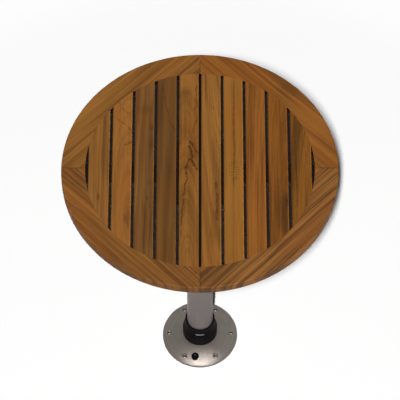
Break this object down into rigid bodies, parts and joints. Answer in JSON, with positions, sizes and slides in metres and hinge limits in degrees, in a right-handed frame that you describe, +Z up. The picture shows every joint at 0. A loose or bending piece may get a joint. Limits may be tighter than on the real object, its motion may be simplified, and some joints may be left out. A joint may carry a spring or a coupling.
{
  "type": "telescoping pedestal table",
  "caption": "Round slatted teak table top on a telescoping clamped column that plugs into a domed round deck plate.",
  "frame": {"origin": "on the floor, under the middle of the deck plate's underside", "axes": "+Z up along the column, -Y is the front, where the button and the clamp ears are, +X to the right"},
  "size_m": [0.6, 0.6, 0.74],
  "materials": {
    "teak_brown": "oiled",
    "teak_golden": "oiled",
    "teak_dark": "oiled",
    "teak_red": "oiled",
    "teak_ring": "oiled",
    "teak_under": "oiled",
    "tube_aluminium": "satin anodised",
    "plate_metal": "turned",
    "black_plastic": "satin",
    "stainless_steel": "bright",
    "spring_steel": "drawn wire"
  },
  "bodies": {
    "base": {"base_plate": "plate_metal", "base_bush": "black_plastic", "base_collar": "black_plastic", "button_guide": "black_plastic", "button_spring": "spring_steel", "latch_cover": "stainless_steel", "latch_cover_screws": "stainless_steel"},
    "button": {"release_button": "black_plastic"},
    "latch": {"latch_bolt": "stainless_steel"},
    "foot": {"foot_plug": "black_plastic"},
    "post": {"lower_tube": "tube_aluminium", "foot_screws": "stainless_steel", "lower_top_bush": "black_plastic", "lower_clamp_collar": "black_plastic", "lower_clamp_bolt": "stainless_steel", "lower_clamp_saddle": "stainless_steel", "lower_clamp_pin": "stainless_steel"},
    "lower_lever": {"lower_clamp_lever": "black_plastic"},
    "middle": {"middle_tube": "tube_aluminium", "middle_foot_glide": "black_plastic", "middle_top_bush": "black_plastic", "middle_clamp_collar": "black_plastic", "middle_clamp_bolt": "stainless_steel", "middle_clamp_saddle": "stainless_steel", "middle_clamp_pin": "stainless_steel"},
    "middle_lever": {"middle_clamp_lever": "black_plastic"},
    "upper": {"upper_tube": "tube_aluminium", "upper_foot_glide": "black_plastic", "top_bracket": "plate_metal", "bracket_screws": "stainless_steel", "bracket_set_screws": "stainless_steel", "cross_batten": "teak_under", "long_batten": "teak_under", "mounting_blocks": "teak_under", "ring_splines": "teak_under", "ring_rear_right": "teak_ring", "ring_rear_left": "teak_ring", "ring_front_left": "teak_ring", "ring_front_right": "teak_ring", "slat_01": "teak_brown", "slat_02": "teak_golden", "slat_03": "teak_dark", "slat_04": "teak_dark", "slat_05": "teak_brown", "slat_06": "teak_golden", "slat_07": "teak_golden", "slat_08": "teak_brown", "slat_09": "teak_red", "slat_10": "teak_red"}
  },
  "joints": [
    {"name": "button_press", "type": "slide", "parent": "base", "child": "button", "axis": [0, 0, -1], "range_m": [0, 0.0025], "stiffness_N_per_m": 1200, "springref_m": -0.004, "deforming": ["button_spring"]},
    {"name": "latch_slide", "type": "slide", "parent": "base", "child": "latch", "axis": [-0.1736, -0.9848, 0], "range_m": [0, 0.0025]},
    {"name": "post_lift", "type": "slide", "parent": "base", "child": "foot", "axis": [0, 0, 1], "range_m": [0, 0.095]},
    {"name": "post_swivel", "type": "hinge", "parent": "foot", "child": "post", "pos_m": [0, 0, 0.025], "axis": [0, 0, 1], "continuous": true},
    {"name": "lower_lever_swing", "type": "hinge", "parent": "post", "child": "lower_lever", "pos_m": [0.01785, -0.04615, 0.317], "axis": [0, 0, -1], "range_deg": [0, 110]},
    {"name": "middle_slide", "type": "slide", "parent": "post", "child": "middle", "axis": [0, 0, -1], "range_m": [0, 0.15]},
    {"name": "middle_lever_swing", "type": "hinge", "parent": "middle", "child": "middle_lever", "pos_m": [0.01785, -0.0414, 0.4945], "axis": [0, 0, -1], "range_deg": [0, 110]},
    {"name": "upper_slide", "type": "slide", "parent": "middle", "child": "upper", "axis": [0, 0, -1], "range_m": [0, 0.15]}
  ],
  "couplings": [
    {"joint": "latch_slide", "follows": "button_press", "ratio": 1}
  ]
}
